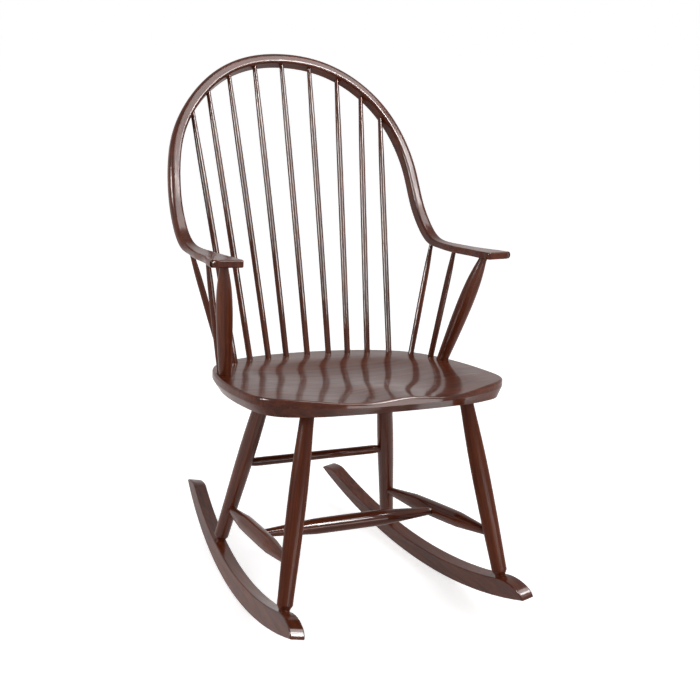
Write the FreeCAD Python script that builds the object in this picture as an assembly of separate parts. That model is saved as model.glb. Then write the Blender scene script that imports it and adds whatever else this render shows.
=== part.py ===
import FreeCAD, Part
import math
import os
from FreeCAD import Placement, Rotation, Vector

# Hoop back rocking chair. Lengths in millimetres, angles in degrees.
# The chair is drawn with its seat level: X to the sitter's left, Y to the back, Z up,
# Y = 0 at the middle of the seat and Z = 0 at the lowest line of the rockers.
# At the end it rolls back on its rockers to where it stands in balance, and its box is centred.

# Seat
seat_width = 543.0
seat_front_reach = 235.0
seat_back_reach = 238.0
seat_height = 443.0
seat_thickness = 34.0
seat_band = 15.0
seat_edge_round = 4.0
seat_bevel_side = 12.0
seat_bevel_front = 28.0
seat_bevel_back = 14.0
outline_parts = 4

# Hollow in the seat, with a ridge between the thighs
hollow_depth = 13.0
hollow_skim = 0.1
hollow_half_width = 208.0
hollow_middle_back = 20.0
hollow_reach_back = 122.0
hollow_reach_front = 428.0
hollow_along_power = 2.2
hollow_across_power = 2.6
hollow_soft_share = 0.22
hollow_tool_points = 23
ridge_height = 8.4
ridge_width = 62.0
ridge_reach = 170.0

# Bow that runs on into both arms
bow_outset = 11.1
bow_top_height = 1055.2
bow_top_behind_seat = 129.0
bow_thickness = 23.5
bow_depth = 26.0
bow_outer_round = 10.0
bow_inner_back_round = 2.0
bow_inner_front_round = 5.5
arm_height = 674.2
arm_thickness = 14.2
arm_outer_round = 5.8
arm_inner_round = 2.8
arm_rear_before_back = 95.0
arm_rear_lift = 3.4
arm_rear_width = 28.0
arm_rear_inner_step = 3.5
arm_mid_back = 63.0
arm_mid_width = 42.0
arm_mid_inner_step = 8.0
hand_width = 62.0
hand_inner_step = 10.5
hand_front = 71.5
hand_length = 52.0
hand_corner_length = 16.0
hand_outer_corner = 15.0
hand_inner_corner = 7.0
hand_front_round = 4.0

# Turned back spindles
spindle_foot_inset = 92.8
spindle_foot_before_back = 31.5
spindle_foot_sweep = 34.1
spindle_top_inset = 63.2
spindle_foot_diameter = 12.5
spindle_swell_diameter = 13.2
spindle_top_diameter = 9.4
spindle_seat_depth = 20.0
spindle_past_centre = 3.0

# Turned spindles under the arms
arm_spindle_foot_diameter = 12.2
arm_spindle_swell_diameter = 12.8
arm_spindle_top_diameter = 8.8
rear_arm_spindle_foot_inset = 57.0
rear_arm_spindle_foot_before_back = 98.8
rear_arm_spindle_top_inset = 5.6
rear_arm_spindle_top_before_back = 65.5
front_arm_spindle_foot_inset = 31.8
front_arm_spindle_foot_back = 98.2
front_arm_spindle_top_inset = 7.8
front_arm_spindle_top_back = 78.4

# Turned arm posts
post_foot_diameter = 23.5
post_swell_diameter = 32.1
post_top_diameter = 16.0
post_foot_inset = 26.6
post_foot_back = 59.7
post_top_inset = 0.3
post_top_front = 24.6
post_seat_depth = 22.0
arm_socket_depth = 7.2

# Turned legs
leg_top_diameter = 26.5
leg_swell_diameter = 35.0
leg_ankle_diameter = 29.6
leg_neck_diameter = 21.0
leg_neck_length = 4.0
leg_chamfer_length = 8.0
leg_seat_depth = 18.0
leg_rocker_depth = 22.0
front_leg_top_inset = 102.2
front_leg_top_behind_front = 79.0
front_leg_foot_run = 53.7
rear_leg_top_inset = 138.7
rear_leg_top_before_back = 131.0
rear_leg_foot_run = 89.0

# Turned stretchers
side_stretcher_front_height = 142.6
side_stretcher_rear_height = 133.9
rear_stretcher_height = 235.8
side_stretcher_diameter = 32.7
cross_stretcher_diameter = 32.5
stretcher_shoulder_diameter = 31.6
stretcher_end_diameter = 16.2
rear_stretcher_diameter = 18.4
rear_stretcher_end_diameter = 15.0

# Rockers, sawn from board and leaning in with the legs
rocker_radius = 975.0
rocker_arc_front = 32.4
rocker_thickness = 28.8
rocker_front_height = 40.0
rocker_mid_height = 35.2
rocker_rear_height = 31.0
rocker_front_end = 291.0
rocker_rear_end = 439.0
rocker_nose_length = 70.0
rocker_tail_length = 53.0
rocker_inset = 60.2
rocker_lean = 9.6
rocker_toe = 4.8
rocker_edge_round = 2.5

# Fits: the glue line round a tenon and the space past its end
glue_line = 0.1
end_space = 0.4
cut_overrun = 40.0

# Sections through the bow
bow_sections_per_stop = 2
hand_tip_sections = 8
hand_tip_turn = 77.5
hand_tip_round_share = 0.65
elbow_flat_share = 0.4
flare_start_width_share = 0.25
flare_start_place_share = 0.6
flare_end_width_share = 0.93
flare_end_place_share = 0.55
search_steps = 40

# Shares along and across the pieces, chosen by hand from their shapes
seat_outline_shares = [
    (0.0, -1.0), (0.17, -1.0), (0.34, -0.985), (0.49, -0.94), (0.63, -0.878), (0.76, -0.81),
    (0.88, -0.72), (0.955, -0.62), (0.99, -0.49), (1.0, -0.32), (1.0, -0.07), (0.985, 0.14),
    (0.95, 0.36), (0.892, 0.56), (0.805, 0.72), (0.69, 0.825), (0.56, 0.895), (0.42, 0.945),
    (0.2, 0.99), (0.0, 1.0),
]
seat_underside_shares = [
    (0.0, -1.0), (0.18, -1.0), (0.35, -0.99), (0.5, -0.973), (0.64, -0.947), (0.76, -0.9),
    (0.87, -0.835), (0.945, -0.73), (0.985, -0.57), (1.0, -0.36), (1.0, -0.07), (0.985, 0.14),
    (0.95, 0.36), (0.892, 0.56), (0.805, 0.72), (0.69, 0.825), (0.56, 0.895), (0.42, 0.945),
    (0.2, 0.99), (0.0, 1.0),
]
bow_knot_shares = [
    (0.0, 1.0, 1.0), (0.28, 0.977, 0.976), (0.535, 0.911, 0.897), (0.749, 0.812, 0.763),
    (0.898, 0.712, 0.592), (0.969, 0.585, 0.401), (0.99, 0.453, 0.209), (0.997, 0.24, 0.06),
]
spindle_place_shares = [
    (0.0, 0.0, 0.0), (0.276, 0.03, 0.292), (0.516, 0.185, 0.577), (0.765, 0.39, 0.814), (1.0, 1.0, 1.0),
]
spindle_run_shares = [
    (0.0, 0.0), (0.18, 0.4), (0.42, 1.0), (0.6, 0.96), (0.75, 0.88), (0.84, 0.66), (0.93, 0.24), (1.0, 0.0),
]
post_run_shares = [
    (0.0, 0.0), (0.13, 0.3), (0.25, 0.58), (0.38, 0.83), (0.5, 0.96), (0.58, 1.0), (0.66, 0.95),
    (0.74, 0.86), (0.8, 0.73), (0.86, 0.53), (0.92, 0.28), (0.96, 0.1), (1.0, 0.0),
]
front_leg_run_shares = [
    (0.0, 0.0), (0.1, 0.22), (0.15, 0.4), (0.21, 0.6), (0.27, 0.77), (0.35, 0.92), (0.5, 1.0),
    (0.6, 0.93), (0.7, 0.77), (0.8, 0.52), (0.9, 0.22), (1.0, 0.0),
]
rear_leg_run_shares = [
    (0.0, 0.0), (0.08, 0.28), (0.16, 0.58), (0.24, 0.8), (0.33, 0.94), (0.42, 1.0), (0.52, 0.94),
    (0.62, 0.76), (0.72, 0.5), (0.82, 0.26), (0.92, 0.09), (1.0, 0.0),
]
middle_share = 0.5
taper_place_shares = (0.05, 0.29)
cross_taper_place_shares = (0.05, 0.305)
belly_shares = [(0.0, 0.0), (0.2, 0.5), (0.55, 0.9), (1.0, 1.0)]
rear_run_shares = [(0.05, 0.0), (0.07, 0.6), (0.1, 0.95), (0.16, 1.0), (0.5, 1.0)]
nose_shares = [(1.0, 1.0), (0.73, 0.925), (0.5, 0.79), (0.33, 0.64), (0.19, 0.48), (0.08, 0.29), (0.0, 0.0)]
tail_shares = [(1.0, 1.0), (0.82, 0.93), (0.63, 0.79), (0.34, 0.52), (0.12, 0.24), (0.0, 0.0)]

left = 1.0
right = -1.0
up = Vector(0, 0, 1)

# Places that follow the seat and the bow
seat_underside = seat_height - seat_thickness
seat_half_width = seat_width / 2
bow_half_width = seat_half_width + bow_outset
bow_top_back = seat_back_reach + bow_top_behind_seat
arm_rear_back = seat_back_reach - arm_rear_before_back
spindle_foot_spread = seat_half_width - spindle_foot_inset
spindle_foot_back = seat_back_reach - spindle_foot_before_back
spindle_top_spread = bow_half_width - spindle_top_inset
rear_arm_spindle_foot_side = seat_half_width - rear_arm_spindle_foot_inset
rear_arm_spindle_foot_back = seat_back_reach - rear_arm_spindle_foot_before_back
rear_arm_spindle_top_side = bow_half_width - rear_arm_spindle_top_inset
rear_arm_spindle_top_back = seat_back_reach - rear_arm_spindle_top_before_back
front_arm_spindle_foot_side = seat_half_width - front_arm_spindle_foot_inset
front_arm_spindle_top_side = bow_half_width - front_arm_spindle_top_inset
post_foot_side = seat_half_width - post_foot_inset
post_top_side = bow_half_width - post_top_inset
front_leg_top_side = seat_half_width - front_leg_top_inset
front_leg_top_front = seat_front_reach - front_leg_top_behind_front
front_leg_foot_front = front_leg_top_front + front_leg_foot_run
rear_leg_top_side = seat_half_width - rear_leg_top_inset
rear_leg_top_back = seat_back_reach - rear_leg_top_before_back
rear_leg_foot_back = rear_leg_top_back + rear_leg_foot_run
rocker_side = seat_half_width - rocker_inset


def mirrored(point, side):
    return Vector(point.x * side, point.y, point.z)


def smooth_curve(points, closed=False):
    curve = Part.BSplineCurve()
    curve.interpolate(Points=points, PeriodicFlag=closed)
    return curve


def blend(low, high, share):
    return low + (high - low) * share


def outline_wire(shares, half_width, front, back, height):
    """Closed seat outline at one height, symmetric about the YZ plane."""
    points = []
    for across, along in shares:
        reach = front if along < 0 else back
        points.append(Vector(across * half_width, along * reach, height))
    points += [Vector(-point.x, point.y, point.z) for point in reversed(points[1:-1])]
    curve = smooth_curve(points, closed=True)
    first, last = curve.FirstParameter, curve.LastParameter
    stops = [blend(first, last, i / outline_parts) for i in range(outline_parts + 1)]
    return Part.Wire([curve.toShape(start, stop) for start, stop in zip(stops, stops[1:])])


def top_outline(height):
    return outline_wire(seat_outline_shares, seat_half_width, seat_front_reach, seat_back_reach, height)


def hollow_surface_height(across, along):
    """Height of the seat's top: soft bowl, open to the front, with a ridge between the thighs."""
    reach = hollow_reach_back if along > hollow_middle_back else hollow_reach_front
    along_share = abs(along - hollow_middle_back) / reach
    across_share = abs(across) / hollow_half_width
    fill = 1 - along_share ** hollow_along_power - across_share ** hollow_across_power
    depth = hollow_depth * (fill + math.hypot(fill, hollow_soft_share)) / 2
    to_front = max(0.0, min(1.0, (hollow_middle_back - along) / ridge_reach))
    to_front = to_front * to_front * (3 - 2 * to_front)
    ridge = ridge_height * to_front * math.exp(-((across / ridge_width) ** 2))
    return seat_height - hollow_skim - max(depth - ridge, 0.0)


def make_top_tool():
    steps = hollow_tool_points - 1
    last_across = seat_half_width + cut_overrun
    first_along = -seat_front_reach - cut_overrun
    last_along = seat_back_reach + cut_overrun
    grid = []
    for i in range(hollow_tool_points):
        across = blend(-last_across, last_across, i / steps)
        row = []
        for j in range(hollow_tool_points):
            along = blend(first_along, last_along, j / steps)
            row.append(Vector(across, along, hollow_surface_height(across, along)))
        grid.append(row)
    surface = Part.BSplineSurface()
    surface.interpolate(grid)
    return surface.toShape().extrude(up * (seat_thickness + cut_overrun))


def make_seat():
    band_bottom = seat_height - seat_band
    band = Part.Face(top_outline(band_bottom)).extrude(up * seat_band)
    band = band.cut(make_top_tool())
    rim = [edge for edge in band.Edges if edge.BoundBox.ZMin > band_bottom + seat_edge_round]
    band = band.makeFillet(seat_edge_round, rim)
    under = outline_wire(
        seat_underside_shares,
        seat_half_width - seat_bevel_side,
        seat_front_reach - seat_bevel_front,
        seat_back_reach - seat_bevel_back,
        seat_underside,
    )
    bevel = Part.makeLoft([under, top_outline(band_bottom)], True, True)
    return band.fuse(bevel).removeSplitter()


def rounded_section(centre, outward, backward, size):
    """Rounded rectangle: width along outward, depth along backward, then the corner radii."""
    width, depth, outer_round, inner_back_round, inner_front_round = size
    half_width = width / 2
    half_depth = depth / 2
    corners = [
        (1, -1, outer_round), (1, 1, outer_round), (-1, 1, inner_back_round), (-1, -1, inner_front_round),
    ]
    bend_share = 1 - math.sqrt(0.5)
    arcs = []
    for index, (side_out, side_back, corner) in enumerate(corners):
        tip = centre + outward * (side_out * half_width) + backward * (side_back * half_depth)
        to_side = outward * (-side_out * corner)
        to_back = backward * (-side_back * corner)
        middle = tip + (to_side + to_back) * bend_share
        ends = [tip + to_side, tip + to_back]
        if index % 2 == 1:
            ends.reverse()
        arcs.append((ends[0], middle, ends[1]))
    edges = []
    for index, arc in enumerate(arcs):
        following = arcs[(index + 1) % len(arcs)]
        edges.append(Part.Arc(*arc).toShape())
        edges.append(Part.LineSegment(arc[2], following[0]).toShape())
    return Part.Wire(edges)


class BowPath:
    """Centre line of one half of the bow and its arm, from the crown to the hand."""

    def __init__(self):
        rise = bow_top_height - arm_height
        run = bow_top_back - arm_rear_back
        inner_edge = bow_half_width - bow_thickness / 2
        hand_start = hand_length - hand_front
        bow_size = (bow_thickness, bow_depth, bow_outer_round, bow_inner_back_round, bow_inner_front_round)
        places = []
        sizes = []
        for across, back, up_share in bow_knot_shares:
            place = Vector(across * bow_half_width, arm_rear_back + back * run, arm_height + up_share * rise)
            places.append(place)
            sizes.append(bow_size)
        elbow_size = [blend(a, b, elbow_flat_share) for a, b in zip(sizes[0], self.arm_size(arm_rear_width))]
        sizes[-1] = elbow_size
        flare_start = blend(arm_mid_width, hand_width, flare_start_width_share)
        flare_end = blend(arm_mid_width, hand_width, flare_end_width_share)
        flare_start_back = blend(arm_mid_back, hand_start, flare_start_place_share)
        flare_end_back = blend(-hand_front, hand_start, flare_end_place_share)
        flare_start_step = blend(arm_mid_inner_step, hand_inner_step, flare_start_width_share)
        flare_end_step = blend(arm_mid_inner_step, hand_inner_step, flare_end_width_share)
        arm_places = [
            (arm_rear_width, arm_rear_back, arm_rear_inner_step, arm_rear_lift),
            (arm_mid_width, arm_mid_back, arm_mid_inner_step, 0),
            (flare_start, flare_start_back, flare_start_step, 0),
            (flare_end, flare_end_back, flare_end_step, 0),
            (hand_width, hand_corner_length - hand_front, hand_inner_step, 0),
        ]
        for width, along, step, lift in arm_places:
            places.append(Vector(inner_edge - step + width / 2, along, arm_height + lift))
            sizes.append(self.arm_size(width))
        self.places = places
        self.sizes = sizes
        self.last = len(places) - 1
        whole = [Vector(-place.x, place.y, place.z) for place in reversed(places[1:])] + places
        stops = [float(index - self.last) for index in range(len(whole))]
        self.curve = Part.BSplineCurve()
        self.curve.interpolate(Points=whole, Parameters=stops)
        self.bow_last = len(bow_knot_shares) - 2

    def arm_size(self, width):
        return (width, arm_thickness, arm_outer_round, arm_inner_round, arm_inner_round)

    def size_at(self, stop):
        index = min(int(stop), self.last - 1)
        share = stop - index
        share = share * share * (3 - 2 * share)
        return [blend(a, b, share) for a, b in zip(self.sizes[index], self.sizes[index + 1])]

    def frame_at(self, stop):
        """Point, outward and backward directions of the section there."""
        point = self.curve.value(stop)
        along = self.curve.tangent(stop)[0].normalize()
        lean = Vector(0, bow_top_height - arm_height, arm_rear_back - bow_top_back)
        if stop > self.bow_last:
            lean = Vector(0, -along.z, along.y)
        backward = lean.normalize()
        backward = (backward - along * backward.dot(along)).normalize()
        return point, along.cross(backward), backward

    def stop_at_side(self, across):
        low = 0.0
        high = float(self.bow_last)
        for step in range(search_steps):
            middle = (low + high) / 2
            if self.curve.value(middle).x < across:
                low = middle
            else:
                high = middle
        return (low + high) / 2

    def stop_at_back(self, along):
        low = float(self.bow_last) - 1
        high = float(self.last)
        for step in range(search_steps):
            middle = (low + high) / 2
            if self.curve.value(middle).y > along:
                low = middle
            else:
                high = middle
        return (low + high) / 2


def make_bow(path):
    sections = []
    count = path.last * bow_sections_per_stop
    for index in range(count + 1):
        stop = index / bow_sections_per_stop
        sections.append(path.frame_at(stop) + (path.size_at(stop),))
    point, outward, backward = path.frame_at(path.last)
    for step in range(1, hand_tip_sections + 1):
        turn = math.radians(hand_tip_turn * step / hand_tip_sections)
        forward = hand_corner_length * math.sin(turn)
        outer = hand_outer_corner * (1 - math.cos(turn))
        inner = hand_inner_corner * (1 - math.cos(turn))
        into_round = max(0.0, forward - (hand_corner_length - hand_front_round)) / hand_front_round
        trim = hand_front_round * (1 - math.sqrt(1 - into_round ** 2))
        outer_round = arm_outer_round - trim * hand_tip_round_share
        inner_round = arm_inner_round - trim * hand_tip_round_share
        centre = point + Vector((inner - outer) / 2, -forward, 0)
        size = (hand_width - outer - inner, arm_thickness - 2 * trim, outer_round, inner_round, inner_round)
        sections.append((centre, outward, backward, size))
    wires = []
    for point, outward, backward, size in reversed(sections[1:]):
        flipped = Vector(-outward.x, outward.y, outward.z)
        back = Vector(-backward.x, backward.y, backward.z)
        wires.append(rounded_section(mirrored(point, right), flipped, back, size))
    wires += [rounded_section(*section) for section in sections]
    return Part.makeLoft(wires, True, False)


def turned(start, end, runs, before, after):
    """Solid of revolution from start to end; each run is (share of the length, diameter)."""
    axis = end - start
    length = axis.Length
    first = runs[0][0][1] / 2
    last = runs[-1][-1][1] / 2
    edges = []
    corners = [Vector(0, 0, -before), Vector(first, 0, -before)]
    for run in runs:
        points = [Vector(diameter / 2, 0, share * length) for share, diameter in run]
        if (points[0] - corners[-1]).Length > glue_line:
            edges.append(Part.LineSegment(corners[-1], points[0]).toShape())
        if len(points) > 2:
            edges.append(smooth_curve(points).toShape())
        else:
            edges.append(Part.LineSegment(points[0], points[1]).toShape())
        corners.append(points[-1])
    tip = Vector(last, 0, length + after)
    edges.append(Part.LineSegment(corners[-1], tip).toShape())
    edges.append(Part.LineSegment(tip, Vector(0, 0, length + after)).toShape())
    edges.append(Part.LineSegment(Vector(0, 0, length + after), corners[0]).toShape())
    edges.insert(0, Part.LineSegment(corners[0], corners[1]).toShape())
    solid = Part.Face(Part.Wire(Part.__sortEdges__(edges))).revolve(Vector(0, 0, 0), up, 360)
    solid.Placement = Placement(start, Rotation(up, axis))
    return solid


def socket(end, outside, diameter):
    """Round hole for a tenon that ends at end and comes in from the side of outside."""
    inward = (end - outside).normalize()
    bottom = end + inward * end_space
    length = (bottom - outside).Length
    hole = Part.makeCylinder(diameter / 2 + glue_line, length)
    hole.Placement = Placement(outside, Rotation(up, inward))
    return hole


def run_of(shares, low, high):
    return [(place, blend(low, high, swell)) for place, swell in shares]


def two_way_run(shares, start, swell, end):
    """Run whose diameter goes from start up to swell and down to end."""
    peak = max(share for place, share in shares)
    before_peak = True
    run = []
    for place, share in shares:
        run.append((place, blend(start if before_peak else end, swell, share)))
        if share == peak:
            before_peak = False
    return run


def both_halves(shares, low, high):
    """Run that is the same from both ends; the shares stop at the middle."""
    near = run_of(shares, low, high)
    far = [(1 - place, diameter) for place, diameter in reversed(near[:-1])]
    return near + far


def cigar_runs(places, end, shoulder, belly):
    """Straight taper, belly and straight taper between two crisp shoulders."""
    start, stop = places
    taper = [(start, end), (stop, shoulder)]
    middle = [(blend(stop, middle_share, place), share) for place, share in belly_shares]
    far_taper = [(1 - place, diameter) for place, diameter in reversed(taper)]
    return [taper, both_halves(middle, shoulder, belly), far_taper]


class Rocker:
    """Board in the plane of its lean; along runs to the back, rise is up the lean."""

    def __init__(self):
        lean = math.radians(rocker_lean)
        half = rocker_thickness / 2
        self.base = Vector(rocker_side + half * math.cos(lean), 0, half * math.sin(lean))
        self.turn = Rotation(up, rocker_toe).multiply(Rotation(Vector(0, 1, 0), -rocker_lean))

    def bottom(self, along):
        offset = along + rocker_arc_front
        return rocker_radius - math.sqrt(rocker_radius ** 2 - offset ** 2)

    def top_arc_points(self):
        start = rocker_nose_length - rocker_front_end
        finish = rocker_rear_end - rocker_tail_length
        middle = (start + finish) / 2
        heights = (rocker_front_height, rocker_mid_height, rocker_rear_height)
        return [Vector(0, place, self.bottom(place) + height)
                for place, height in zip((start, middle, finish), heights)]

    def top(self, along):
        circle = Part.Circle(*self.top_arc_points())
        drop = math.sqrt(circle.Radius ** 2 - (along - circle.Center.y) ** 2)
        return circle.Center.z - drop

    def place(self, along, rise):
        """Point on the middle plane of the left rocker, in the chair's frame."""
        return self.base + self.turn.multVec(Vector(0, along, rise))

    def make(self, side):
        start, middle, finish = self.top_arc_points()
        nose = []
        for along_share, rise_share in nose_shares:
            along = -rocker_front_end + rocker_nose_length * along_share
            low = self.bottom(along)
            nose.append(Vector(0, along, blend(low, low + rocker_front_height, rise_share)))
        tail = []
        for along_share, rise_share in tail_shares:
            along = rocker_rear_end - rocker_tail_length * along_share
            low = self.bottom(along)
            tail.append(Vector(0, along, blend(low, low + rocker_rear_height, rise_share)))
        lowest = Vector(0, -rocker_arc_front, 0)
        edges = [
            Part.Arc(start, middle, finish).toShape(),
            smooth_curve(nose).toShape(),
            Part.Arc(nose[-1], lowest, tail[-1]).toShape(),
            smooth_curve(tail).toShape(),
        ]
        face = Part.Face(Part.Wire(Part.__sortEdges__(edges)))
        board = face.extrude(Vector(rocker_thickness, 0, 0))
        arrises = [edge for edge in board.Edges if edge.BoundBox.XLength < glue_line]
        board = board.makeFillet(rocker_edge_round, arrises)
        board.translate(Vector(-rocker_thickness / 2, 0, 0))
        board.Placement = Placement(self.base, self.turn).multiply(board.Placement)
        if side == right:
            board = board.mirror(Vector(0, 0, 0), Vector(1, 0, 0))
        return board


def on_line(start, end, height):
    return start + (end - start) * ((height - start.z) / (end.z - start.z))


pieces = {}
path = BowPath()
rocker = Rocker()
bow = make_bow(path)
seat = make_seat()
rockers = {left: rocker.make(left), right: rocker.make(right)}
side_names = {left: "left", right: "right"}


def add_back_spindles():
    """Nine spindles, numbered from the sitter's right to left."""
    global seat, bow
    places = [(-across, sweep, -top) for across, sweep, top in reversed(spindle_place_shares[1:])]
    places += spindle_place_shares
    for number, (across, sweep, top) in enumerate(places, start=1):
        foot = Vector(
            across * spindle_foot_spread,
            spindle_foot_back - sweep * spindle_foot_sweep,
            seat_height,
        )
        side = right if top < 0 else left
        stop = path.stop_at_side(abs(top) * spindle_top_spread)
        centre = mirrored(path.curve.value(stop), side)
        direction = (centre - foot).normalize()
        end = centre + direction * spindle_past_centre
        run = two_way_run(
            spindle_run_shares, spindle_foot_diameter, spindle_swell_diameter, spindle_top_diameter
        )
        enter = (bow_thickness / 2 + spindle_past_centre) / (end - foot).Length
        run = [(place * (1 - enter), diameter) for place, diameter in run]
        pieces["back_spindle_%d" % number] = turned(foot, end, [run], spindle_seat_depth, 0)
        bottom = foot - direction * spindle_seat_depth
        seat = seat.cut(socket(bottom, foot + direction * cut_overrun, spindle_foot_diameter))
        bow = bow.cut(socket(end, foot + (end - foot) * (1 - 2 * enter), spindle_top_diameter))


def add_arm_upright(name, foot, end, run, seat_depth_here):
    """Post or spindle between the seat and the underside of an arm."""
    global seat, bow
    direction = (end - foot).normalize()
    pieces[name] = turned(foot, end, [run], seat_depth_here, 0)
    bottom = foot - direction * seat_depth_here
    seat = seat.cut(socket(bottom, foot + direction * cut_overrun / 2, run[0][1]))
    bow = bow.cut(socket(end, end - direction * (arm_thickness + bow_depth), run[-1][1]))


def add_arm_uprights(side):
    name = side_names[side]
    arm_underside = arm_height - arm_thickness / 2
    post_foot = Vector(post_foot_side * side, post_foot_back, seat_height)
    post_top = Vector(post_top_side * side, -post_top_front, arm_underside)
    direction = (post_top - post_foot).normalize()
    post_end = post_top + direction * arm_socket_depth
    run = two_way_run(post_run_shares, post_foot_diameter, post_swell_diameter, post_top_diameter)
    kept = (post_top - post_foot).Length / (post_end - post_foot).Length
    run = [(place * kept, diameter) for place, diameter in run]
    add_arm_upright("arm_post_" + name, post_foot, post_end, run, post_seat_depth)
    run = two_way_run(
        spindle_run_shares, arm_spindle_foot_diameter, arm_spindle_swell_diameter, arm_spindle_top_diameter
    )
    front_foot = Vector(front_arm_spindle_foot_side * side, front_arm_spindle_foot_back, seat_height)
    front_top = Vector(front_arm_spindle_top_side * side, front_arm_spindle_top_back, arm_underside)
    direction = (front_top - front_foot).normalize()
    front_end = front_top + direction * arm_socket_depth
    kept = (front_top - front_foot).Length / (front_end - front_foot).Length
    front_run = [(place * kept, diameter) for place, diameter in run]
    add_arm_upright("arm_spindle_front_" + name, front_foot, front_end, front_run, spindle_seat_depth)
    rear_foot = Vector(rear_arm_spindle_foot_side * side, rear_arm_spindle_foot_back, seat_height)
    stop = path.stop_at_back(rear_arm_spindle_top_back)
    rear_end = mirrored(path.curve.value(stop), side)
    rear_end.x = rear_arm_spindle_top_side * side
    kept = 1 - bow_depth / 2 / (rear_end - rear_foot).Length
    rear_run = [(place * kept, diameter) for place, diameter in run]
    add_arm_upright("arm_spindle_rear_" + name, rear_foot, rear_end, rear_run, spindle_seat_depth)


def leg_line(side, top_side, top_along, foot_along):
    """Top at the seat's underside and foot on the rocker's top, on the leg's axis."""
    top = Vector(top_side * side, top_along, seat_underside)
    foot = mirrored(rocker.place(foot_along, rocker.top(foot_along)), side)
    return top, foot


def make_leg(top, foot, shares):
    length = (top - foot).Length
    body = length - leg_neck_length - leg_chamfer_length
    run = two_way_run(shares, leg_top_diameter, leg_swell_diameter, leg_ankle_diameter)
    run = [(place * body / length, diameter) for place, diameter in run]
    neck = 1 - leg_neck_length / length
    chamfer = [(body / length, leg_ankle_diameter), (neck, leg_neck_diameter)]
    straight = [(neck, leg_neck_diameter), (1.0, leg_neck_diameter)]
    return turned(top, foot, [run, chamfer, straight], leg_seat_depth, leg_rocker_depth)


def add_legs(side):
    """Both legs of one side; returns their axes."""
    global seat
    name = side_names[side]
    lines = {
        "front": leg_line(side, front_leg_top_side, -front_leg_top_front, -front_leg_foot_front),
        "rear": leg_line(side, rear_leg_top_side, rear_leg_top_back, rear_leg_foot_back),
    }
    shares = {"front": front_leg_run_shares, "rear": rear_leg_run_shares}
    for end in ("front", "rear"):
        top, foot = lines[end]
        direction = (foot - top).normalize()
        pieces["%s_leg_%s" % (end, name)] = make_leg(top, foot, shares[end])
        seat_bottom = top - direction * leg_seat_depth
        seat = seat.cut(socket(seat_bottom, top + direction * cut_overrun, leg_top_diameter))
        rocker_bottom = foot + direction * leg_rocker_depth
        hole = socket(rocker_bottom, foot - direction * leg_chamfer_length, leg_neck_diameter)
        rockers[side] = rockers[side].cut(hole)
    return lines


def bore_leg(name, end, outside, diameter):
    pieces[name] = pieces[name].cut(socket(end, outside, diameter))


def add_side_stretcher(side, lines):
    name = side_names[side]
    front = on_line(lines["front"][0], lines["front"][1], side_stretcher_front_height)
    rear = on_line(lines["rear"][0], lines["rear"][1], side_stretcher_rear_height)
    runs = cigar_runs(
        taper_place_shares,
        stretcher_end_diameter,
        stretcher_shoulder_diameter,
        side_stretcher_diameter,
    )
    pieces["side_stretcher_" + name] = turned(front, rear, runs, 0, 0)
    middle = (front + rear) / 2
    bore_leg("front_leg_" + name, front, middle, stretcher_end_diameter)
    bore_leg("rear_leg_" + name, rear, middle, stretcher_end_diameter)
    return middle


def add_cross_stretcher(left_middle, right_middle):
    runs = cigar_runs(
        cross_taper_place_shares,
        stretcher_end_diameter,
        stretcher_shoulder_diameter,
        cross_stretcher_diameter,
    )
    pieces["cross_stretcher"] = turned(right_middle, left_middle, runs, 0, 0)
    centre = (left_middle + right_middle) / 2
    for name, end in (("left", left_middle), ("right", right_middle)):
        bore_leg("side_stretcher_" + name, end, centre, stretcher_end_diameter)


def add_rear_stretcher(axes):
    ends = {}
    for side in axes:
        top, foot = axes[side]["rear"]
        ends[side] = on_line(top, foot, rear_stretcher_height)
    run = both_halves(rear_run_shares, rear_stretcher_end_diameter, rear_stretcher_diameter)
    pieces["rear_stretcher"] = turned(ends[right], ends[left], [run], 0, 0)
    centre = (ends[left] + ends[right]) / 2
    for side in axes:
        bore_leg("rear_leg_" + side_names[side], ends[side], centre, rear_stretcher_end_diameter)


add_back_spindles()
for side in (left, right):
    add_arm_uprights(side)
axes = {side: add_legs(side) for side in (left, right)}
middles = {side: add_side_stretcher(side, axes[side]) for side in (left, right)}
add_cross_stretcher(middles[left], middles[right])
add_rear_stretcher(axes)
pieces["seat"] = seat
pieces["bow_with_arms"] = bow
for side in (left, right):
    pieces["rocker_" + side_names[side]] = rockers[side]

# Balance: roll back on the rockers until the centre of mass is over the floor contact
whole = Part.Compound(list(pieces.values()))
balance = whole.CenterOfGravity
arc_height = rocker_radius / math.cos(math.radians(rocker_lean))
roll = math.degrees(math.atan2(balance.y + rocker_arc_front, arc_height - balance.z))
axle = Vector(0, -rocker_arc_front, arc_height)
whole.rotate(axle, Vector(1, 0, 0), -roll)
box = whole.optimalBoundingBox(False, False)
shift = Vector(0, -(box.YMin + box.YMax) / 2, -box.ZMin)
print("rolled back by %.5f degrees, moved by %.4f along Y and %.4f along Z" % (roll, shift.y, shift.z))

os.makedirs("parts", exist_ok=True)
for name, shape in pieces.items():
    placed = shape.copy()
    placed.rotate(axle, Vector(1, 0, 0), -roll)
    placed.translate(shift)
    solids = placed.Solids
    print(name, len(solids), placed.isValid(), round(placed.Volume))
    solids[0].exportStep("parts/%s.step" % name)
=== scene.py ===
import math

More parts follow.
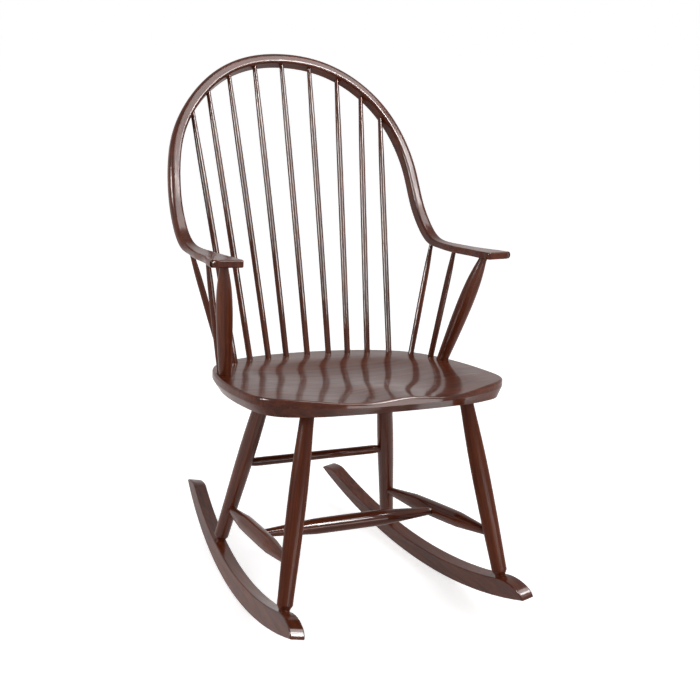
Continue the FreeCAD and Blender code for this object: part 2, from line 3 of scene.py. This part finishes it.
import bpy
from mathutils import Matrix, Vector


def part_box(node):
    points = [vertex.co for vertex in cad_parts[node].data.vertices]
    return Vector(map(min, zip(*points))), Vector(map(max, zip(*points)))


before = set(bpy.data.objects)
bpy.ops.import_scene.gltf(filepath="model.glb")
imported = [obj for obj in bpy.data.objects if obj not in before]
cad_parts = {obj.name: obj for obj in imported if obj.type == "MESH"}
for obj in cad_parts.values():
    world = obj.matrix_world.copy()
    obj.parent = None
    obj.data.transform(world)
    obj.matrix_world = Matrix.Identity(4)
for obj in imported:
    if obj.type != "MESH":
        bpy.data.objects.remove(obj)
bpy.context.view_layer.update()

# Camera at the photograph's viewing angle: place in metres, turn in degrees, lens and sensor in mm
CAMERA_PLACE = (-1.15027, -2.1872, 1.21336)
CAMERA_TURN = (73.3106, -4.7495, -26.7796)
CAMERA_LENS = 66.023
CAMERA_SENSOR = 36.0
CAMERA_SHIFT = (-0.000176, -0.001352)
CAMERA_REACH = 60.0

# Softboxes: place and target in metres, size, brightness, and whether it lights reflections or colours
SOFTBOXES = {
    "sheen_left": ((-2.0, -0.15, 1.42), (0.0, 0.15, 0.8), (0.65, 0.8), 85.0, True),
    "sheen_right": ((0.94, -1.9, 2.15), (0.0, 0.15, 0.8), (0.65, 1.1), 75.0, True),
    "sheen_high": ((1.0, -1.1, 2.22), (0.3, 0.25, 0.9), (1.2, 0.55), 36.0, True),
    "sheen_top": ((0.5, -0.55, 2.5), (0.5, -0.54, 0.0), (2.2, 1.5), 12.0, True),
    "sheen_low": ((0.6, -2.5, 0.22), (0.0, 0.0, 0.45), (2.0, 0.35), 12.0, True),
    "softbox_left": ((-2.6, 0.25, 1.6), (0.0, 0.0, 0.6), (1.6, 1.6), 3.0, False),
    "softbox_right": ((1.75, -1.9, 2.0), (0.0, 0.0, 0.6), (1.6, 1.6), 4.5, False),
}

# White floor and backdrop: glow for the rays that see them, and the sky's light on the object
FLOOR_HALF_WIDTH = 14.0
FLOOR_COLOUR = (0.8, 0.8, 0.8, 1.0)
FLOOR_GLOW = 0.68
WHITE = (1.0, 1.0, 1.0, 1.0)
SKY_LIGHT = 0.4
SKY_SEEN = 1.0

# Stain colours, from the dark grain to the light ground between it, and their places on the ramp
DARK_STAIN = (0.034, 0.0075, 0.0038)
MIDDLE_STAIN = (0.090, 0.019, 0.0070)
LIGHT_STAIN = (0.175, 0.043, 0.0155)
STAIN_PLACES = (0.0, 0.45, 1.0)

# Patterns in the wood: cells per metre across and along the grain, detail, roughness, distortion
STREAKS = (95.0, 3.2, 4.0, 0.55, 0.6)
FINE_GRAIN = (420.0, 9.0, 3.0, 0.6, 0.2)
PORES = (1500.0, 42.0, 2.0, 0.6, 0.0)
CLOUDS = (9.0, 4.0, 3.0, 0.5, 0.4)
RUBBING = (30.0, 12.0, 4.0, 0.6, 0.0)
WAVES = (38.0, 14.0, 2.0, 0.5, 0.0)

# How the patterns mix: weights, and the ranges that they are read from and brought to
NOISE_MIDDLE = 0.5
FINE_GRAIN_WEIGHT = 0.55
CLOUD_WEIGHT = 0.7
GRAIN_RANGE = (0.08, 0.92, 0.0, 1.0)
PORE_RANGE = (0.62, 0.78, 0.0, 0.55)
SHEEN_RANGE = (0.3, 0.7, 0.30, 0.42)
PORE_DEPTH = -0.10
FINE_GRAIN_HEIGHT = 0.12
GRAIN_BUMP = 0.25
GRAIN_BUMP_DISTANCE = 0.0006
LACQUER_BUMP = 0.35
LACQUER_BUMP_DISTANCE = 0.0012

# Wood and lacquer as surfaces
WOOD_IOR = 1.45
WOOD_SPECULAR = 0.02
LACQUER_IOR = 1.5

# Finish of a piece: ripple, roughness and weight of its lacquer
TURNED_FINISH = (0.1, 0.03, 0.35)
BOW_FINISH = (0.5, 0.17, 0.35)
SEAT_FINISH = (0.9, 0.10, 0.35)
ROCKER_FINISH = (0.5, 0.15, 0.45)
POST_FINISH = (0.3, 0.22, 0.35)
FRONT_LEG_FINISH = (0.3, 0.22, 0.15)
REAR_LEG_FINISH = (0.3, 0.22, 0.6)

# Grain: its step from piece to piece, and how far it drifts through the bow's depth and height
PIECE_STEP = (1.37, 2.11, 0.73)
BOW_DEPTH_DRIFT = 0.35
BOW_HEIGHT_DRIFT = 0.2

# A straight piece: least rise of one that stands, and its length over that of the end that is read
STANDING_RISE = 0.08
END_PARTS = 8


def add_camera():
    data = bpy.data.cameras.new("camera")
    data.lens = CAMERA_LENS
    data.sensor_width = CAMERA_SENSOR
    data.sensor_fit = "HORIZONTAL"
    data.shift_x, data.shift_y = CAMERA_SHIFT
    data.clip_end = CAMERA_REACH
    camera = bpy.data.objects.new("camera", data)
    camera.location = CAMERA_PLACE
    camera.rotation_euler = [math.radians(angle) for angle in CAMERA_TURN]
    bpy.context.scene.collection.objects.link(camera)
    bpy.context.scene.camera = camera


def add_light(name, place, target, size, brightness, gloss):
    """Rectangular softbox that faces its target; gloss tells whether it lights reflections or colours."""
    data = bpy.data.lights.new(name, "AREA")
    data.shape = "RECTANGLE"
    data.size, data.size_y = size
    data.energy = brightness * size[0] * size[1] * math.pi
    lamp = bpy.data.objects.new(name, data)
    lamp.visible_glossy = gloss
    lamp.visible_diffuse = not gloss
    lamp.location = place
    direction = Vector(target) - Vector(place)
    lamp.rotation_euler = direction.to_track_quat("-Z", "Y").to_euler()
    bpy.context.scene.collection.objects.link(lamp)


class Nodes:
    """Short way to add and link shader nodes in one tree."""

    def __init__(self, tree):
        self.tree = tree
        tree.nodes.clear()

    def add(self, kind, values=None, **settings):
        node = self.tree.nodes.new(kind)
        for key, value in settings.items():
            setattr(node, key, value)
        for key, value in (values or {}).items():
            if isinstance(value, bpy.types.NodeSocket):
                self.tree.links.new(value, node.inputs[key])
            else:
                node.inputs[key].default_value = value
        return node

    def math(self, operation, first, second=0.0, third=0.0):
        values = {0: first, 1: second, 2: third}
        return self.add("ShaderNodeMath", values, operation=operation).outputs[0]

    def vector(self, operation, first, second):
        return self.add("ShaderNodeVectorMath", {0: first, 1: second}, operation=operation).outputs[0]

    def pattern(self, space, numbers):
        """Noise stretched along the grain."""
        across, along, detail, roughness, distortion = numbers
        values = {
            "Vector": self.vector("MULTIPLY", space, (across, across, along)),
            "Scale": 1.0,
            "Detail": detail,
            "Roughness": roughness,
            "Distortion": distortion,
        }
        return self.add("ShaderNodeTexNoise", values).outputs["Fac"]

    def ramp(self, factor, places, colours):
        node = self.add("ShaderNodeValToRGB", {"Fac": factor})
        elements = node.color_ramp.elements
        while len(elements) < len(places):
            elements.new(0.5)
        for element, place, colour in zip(elements, places, colours):
            element.position = place
            element.color = colour + (1.0,)
        return node.outputs["Color"]

    def range(self, value, numbers):
        low, high, to_low, to_high = numbers
        values = {"Value": value, "From Min": low, "From Max": high, "To Min": to_low, "To Max": to_high}
        return self.add("ShaderNodeMapRange", values).outputs[0]

    def seen(self):
        """1 for the camera, glossy and transmission rays, which see the white background, else 0."""
        path = self.add("ShaderNodeLightPath")
        seen = self.math("MAXIMUM", path.outputs["Is Camera Ray"], path.outputs["Is Glossy Ray"])
        return self.math("MAXIMUM", seen, path.outputs["Is Transmission Ray"])


def piece_step(seed):
    return tuple(seed * step for step in PIECE_STEP)


def grain_space(nodes, axis, seed):
    """Coordinates in metres with the grain along Z, moved so each piece has its own streaks."""
    place = nodes.add("ShaderNodeTexCoord").outputs["Object"]
    mapping = nodes.add("ShaderNodeMapping", {"Vector": place}, vector_type="POINT")
    mapping.inputs["Rotation"].default_value = Vector(axis).rotation_difference(Vector((0, 0, 1))).to_euler()
    mapping.inputs["Location"].default_value = piece_step(seed)
    return mapping.outputs["Vector"]


def bow_grain_space(nodes, box, seed):
    """Coordinates that follow the bend of the bow and run straight along the arms."""
    place = nodes.add("ShaderNodeTexCoord").outputs["Object"]
    x, y, z = nodes.add("ShaderNodeSeparateXYZ", {"Vector": place}).outputs
    low, high = box
    radius = (high[0] - low[0]) / 2
    rise = nodes.math("SUBTRACT", z, high[2] - radius)
    above = nodes.math("MAXIMUM", rise, 0.0)
    angle = nodes.math("ARCTAN2", x, above)
    squares = nodes.math("ADD", nodes.math("MULTIPLY", x, x), nodes.math("MULTIPLY", above, above))
    reach = nodes.math("SQRT", squares)
    below = nodes.math("MINIMUM", rise, 0.0)
    side = nodes.math("SIGN", x)
    along = nodes.math("SUBTRACT", nodes.math("MULTIPLY", angle, radius), nodes.math("MULTIPLY", side, below))
    along = nodes.math("SUBTRACT", along, nodes.math("MULTIPLY", side, y))
    depth_drift = nodes.math("MULTIPLY", y, BOW_DEPTH_DRIFT)
    across = nodes.math("ADD", depth_drift, nodes.math("MULTIPLY", z, BOW_HEIGHT_DRIFT))
    joined = nodes.add("ShaderNodeCombineXYZ", {"X": reach, "Y": across, "Z": along})
    return nodes.vector("ADD", joined.outputs[0], piece_step(seed))


def wood(name, make_space, finish):
    """Stained wood under satin lacquer: streaks and pores along the grain, cloudy stain, uneven sheen."""
    ripple, lacquer_roughness, lacquer_weight = finish
    material = bpy.data.materials.new(name)
    material.use_nodes = True
    nodes = Nodes(material.node_tree)
    space = make_space(nodes)

    fine = nodes.pattern(space, FINE_GRAIN)
    pores = nodes.pattern(space, PORES)
    fine_part = nodes.math("SUBTRACT", fine, NOISE_MIDDLE)
    cloud_part = nodes.math("SUBTRACT", nodes.pattern(space, CLOUDS), NOISE_MIDDLE)
    grain = nodes.math("MULTIPLY_ADD", fine_part, FINE_GRAIN_WEIGHT, nodes.pattern(space, STREAKS))
    grain = nodes.range(nodes.math("MULTIPLY_ADD", cloud_part, CLOUD_WEIGHT, grain), GRAIN_RANGE)
    ground = nodes.ramp(grain, STAIN_PLACES, (DARK_STAIN, MIDDLE_STAIN, LIGHT_STAIN))
    pore_mask = nodes.range(pores, PORE_RANGE)
    mix_values = {"Factor": pore_mask, 6: ground, 7: DARK_STAIN + (1.0,)}
    colour = nodes.add("ShaderNodeMix", mix_values, data_type="RGBA")

    sheen = nodes.range(nodes.pattern(space, RUBBING), SHEEN_RANGE)
    height = nodes.math("MULTIPLY_ADD", pores, PORE_DEPTH, nodes.math("MULTIPLY", fine, FINE_GRAIN_HEIGHT))
    bump = nodes.add("ShaderNodeBump", {
        "Strength": GRAIN_BUMP,
        "Distance": GRAIN_BUMP_DISTANCE,
        "Height": height,
    })
    lacquer = nodes.add("ShaderNodeBump", {
        "Strength": LACQUER_BUMP,
        "Distance": LACQUER_BUMP_DISTANCE * ripple,
        "Height": nodes.pattern(space, WAVES),
    })
    shader = nodes.add("ShaderNodeBsdfPrincipled", {
        "Base Color": colour.outputs[2],
        "Roughness": sheen,
        "IOR": WOOD_IOR,
        "Specular IOR Level": WOOD_SPECULAR,
        "Normal": bump.outputs["Normal"],
        "Coat Weight": lacquer_weight,
        "Coat Roughness": lacquer_roughness,
        "Coat IOR": LACQUER_IOR,
        "Coat Normal": lacquer.outputs["Normal"],
    })
    nodes.add("ShaderNodeOutputMaterial", {"Surface": shader.outputs["BSDF"]})
    return material


def long_axis(node):
    """Direction of a straight piece, from the outline of its own mesh."""
    points = [vertex.co for vertex in node.data.vertices]
    low = min(points, key=lambda point: point.z)
    high = max(points, key=lambda point: point.z)
    if (high - low).z > STANDING_RISE:
        part = (high.z - low.z) / END_PARTS
        ends = [[p for p in points if p.z < low.z + part], [p for p in points if p.z > high.z - part]]
    else:
        key = 0 if node.dimensions.x > node.dimensions.y else 1
        points.sort(key=lambda point: point[key])
        share = len(points) // END_PARTS
        ends = [points[:share], points[-share:]]
    middles = [sum(end, Vector()) / len(end) for end in ends]
    return (middles[1] - middles[0]).normalized()


def finish_of(name):
    if name.startswith("front_leg"):
        return FRONT_LEG_FINISH
    if name.startswith("rear_leg"):
        return REAR_LEG_FINISH
    if name.startswith("arm_post"):
        return POST_FINISH
    return TURNED_FINISH


def dress(name, node, seed):
    if name == "bow_with_arms":
        material = wood("bow_wood", lambda nodes: bow_grain_space(nodes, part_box(name), seed), BOW_FINISH)
    elif name == "seat":
        material = wood("seat_wood", lambda nodes: grain_space(nodes, (1, 0, 0), seed), SEAT_FINISH)
    elif name.startswith("rocker"):
        material = wood(name + "_wood", lambda nodes: grain_space(nodes, (0, 1, 0), seed), ROCKER_FINISH)
    else:
        axis = long_axis(node)
        material = wood(name + "_wood", lambda nodes: grain_space(nodes, axis, seed), finish_of(name))
    for slot in node.material_slots:
        slot.material = material


def add_floor():
    half = FLOOR_HALF_WIDTH
    mesh = bpy.data.meshes.new("floor")
    mesh.from_pydata([(-half, -half, 0), (half, -half, 0), (half, half, 0), (-half, half, 0)], [], [(0, 1, 2, 3)])
    floor = bpy.data.objects.new("floor", mesh)
    bpy.context.scene.collection.objects.link(floor)
    material = bpy.data.materials.new("floor_white")
    material.use_nodes = True
    nodes = Nodes(material.node_tree)
    diffuse = nodes.add("ShaderNodeBsdfDiffuse", {"Color": FLOOR_COLOUR})
    glow = nodes.add("ShaderNodeEmission", {"Color": WHITE, "Strength": FLOOR_GLOW})
    both = nodes.add("ShaderNodeAddShader", {0: diffuse.outputs[0], 1: glow.outputs[0]})
    mix_values = {"Fac": nodes.seen(), 1: diffuse.outputs[0], 2: both.outputs[0]}
    mix = nodes.add("ShaderNodeMixShader", mix_values)
    nodes.add("ShaderNodeOutputMaterial", {"Surface": mix.outputs[0]})
    mesh.materials.append(material)


def add_world():
    world = bpy.data.worlds.new("studio")
    bpy.context.scene.world = world
    world.use_nodes = True
    nodes = Nodes(world.node_tree)
    strength = nodes.range(nodes.seen(), (0.0, 1.0, SKY_LIGHT, SKY_SEEN))
    sky = nodes.add("ShaderNodeBackground", {"Color": WHITE, "Strength": strength})
    nodes.add("ShaderNodeOutputWorld", {"Surface": sky.outputs[0]})


add_camera()
add_world()
add_floor()
for lamp_name, lamp_values in SOFTBOXES.items():
    add_light(lamp_name, *lamp_values)
for number, (name, node) in enumerate(sorted(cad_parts.items())):
    dress(name, node, number + 1)

bpy.context.scene.view_settings.view_transform = "Standard"
